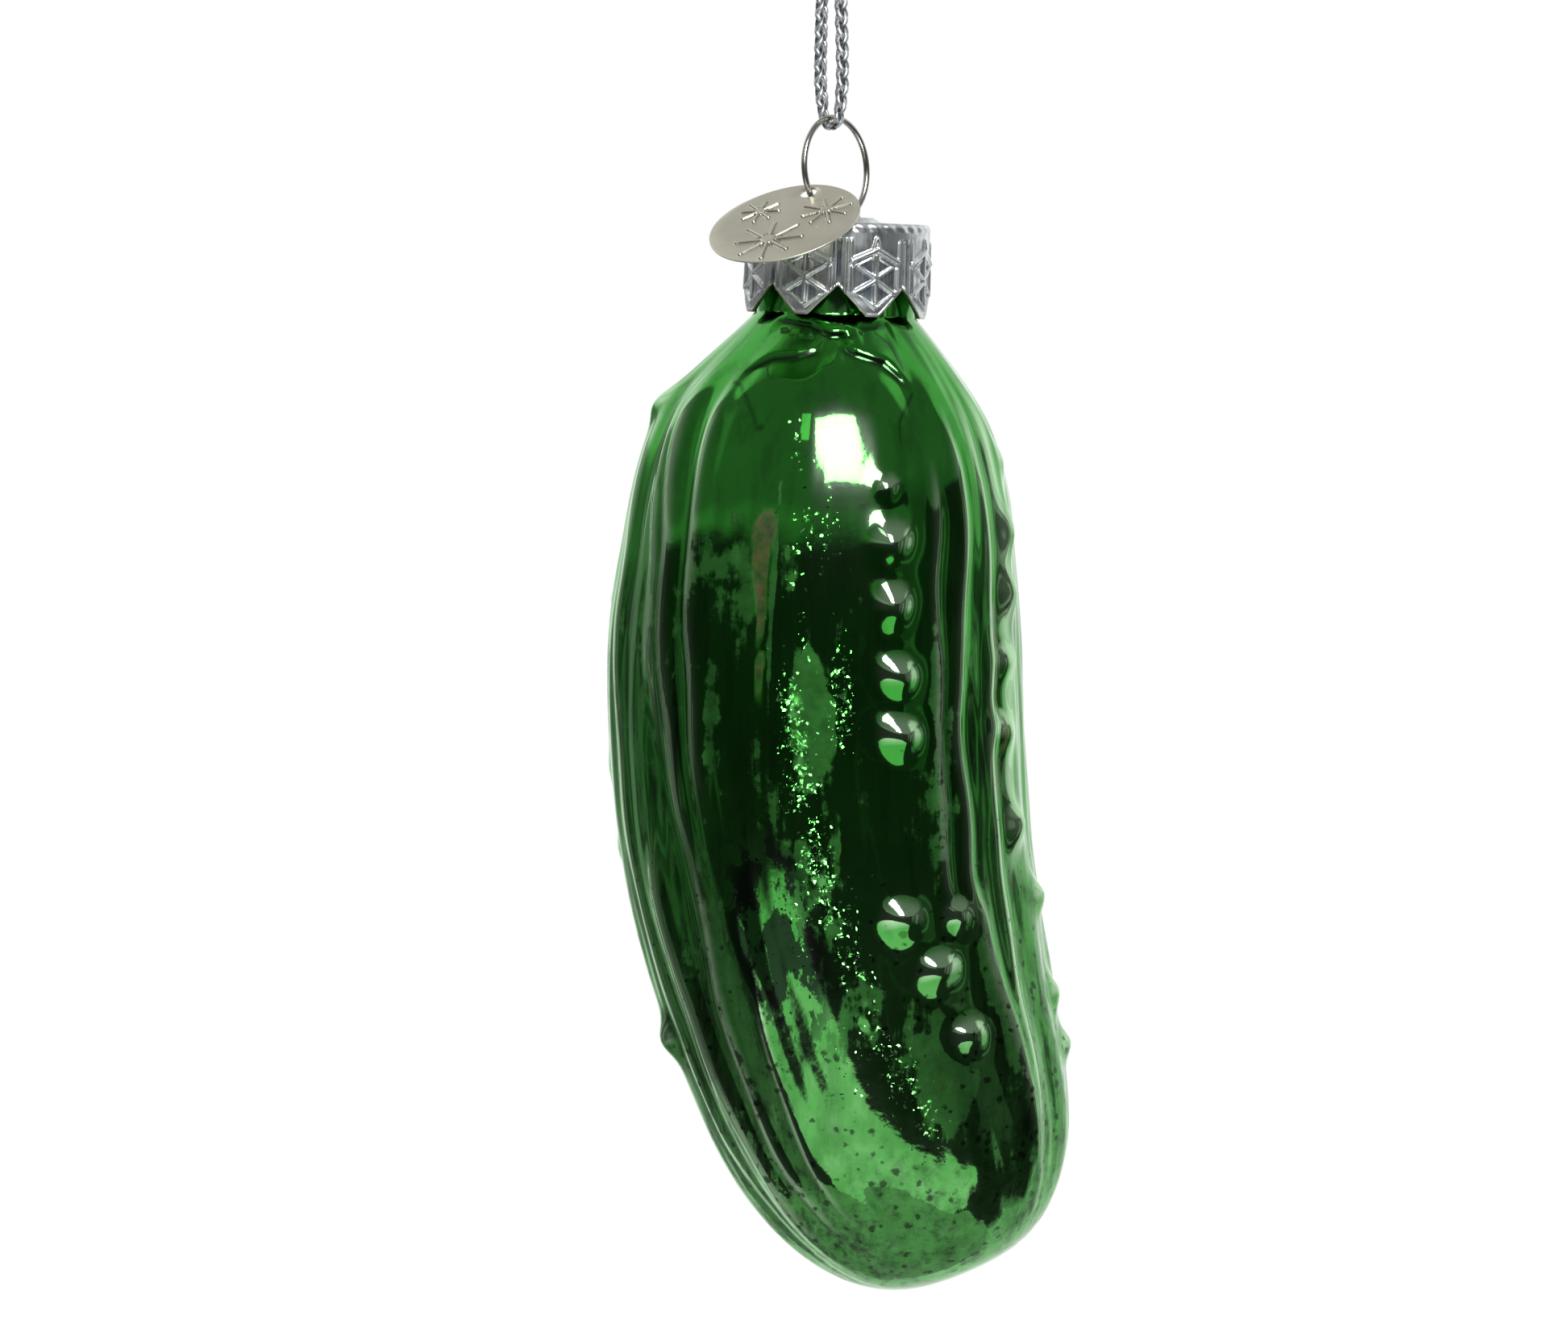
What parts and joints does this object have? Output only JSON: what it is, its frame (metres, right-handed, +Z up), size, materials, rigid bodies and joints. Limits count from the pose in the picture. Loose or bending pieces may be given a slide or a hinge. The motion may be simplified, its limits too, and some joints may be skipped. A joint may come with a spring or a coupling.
{
  "type": "pickle ornament",
  "caption": "Hanging blown-glass ornament shaped as a bent warty pickle, with a scalloped metal cap, wire eye, loose round tag and a knotted cord loop.",
  "frame": {"origin": "hang point inside the cord loop, just under the knot", "axes": "+Z up along the cord, +X to the right of the pictured side, +Y away from the viewer; the body bends towards +X at its lower end"},
  "size_m": [0.0448, 0.0382, 0.1516],
  "materials": {
    "green_glass": "silvered inside under clear green lacquer, glossy, mirror bright",
    "cap_metal": "stamped sheet, darkened in the recesses",
    "bright_wire": "bright drawn spring wire",
    "tag_metal": "stamped, satin, warm silver",
    "silver_cord": "braided metallic thread"
  },
  "bodies": {
    "cord": {"cord_loop": "silver_cord", "cord_knot": "silver_cord"},
    "cap_and_hanger": {"cap": "cap_metal", "hanger_wire": "bright_wire"},
    "tag": {"tag": "tag_metal"},
    "glass": {"glass_body": "green_glass"}
  },
  "joints": [
    {"name": "swing", "type": "hinge", "parent": "cord", "child": "cap_and_hanger", "pos_m": [0, 0, -0.028], "axis": [0.6133, 0.788, 0.0537], "range_deg": [-70, 70]},
    {"name": "tag_lift", "type": "hinge", "parent": "cap_and_hanger", "child": "tag", "pos_m": [-0.00209, -0.00347, -0.03526], "axis": [-0.891, 0.454, 0], "range_deg": [0, 50]},
    {"name": "cap_pull", "type": "slide", "parent": "cap_and_hanger", "child": "glass", "axis": [-0.0436, 0, -0.999], "range_m": [0, 0.02]}
  ]
}
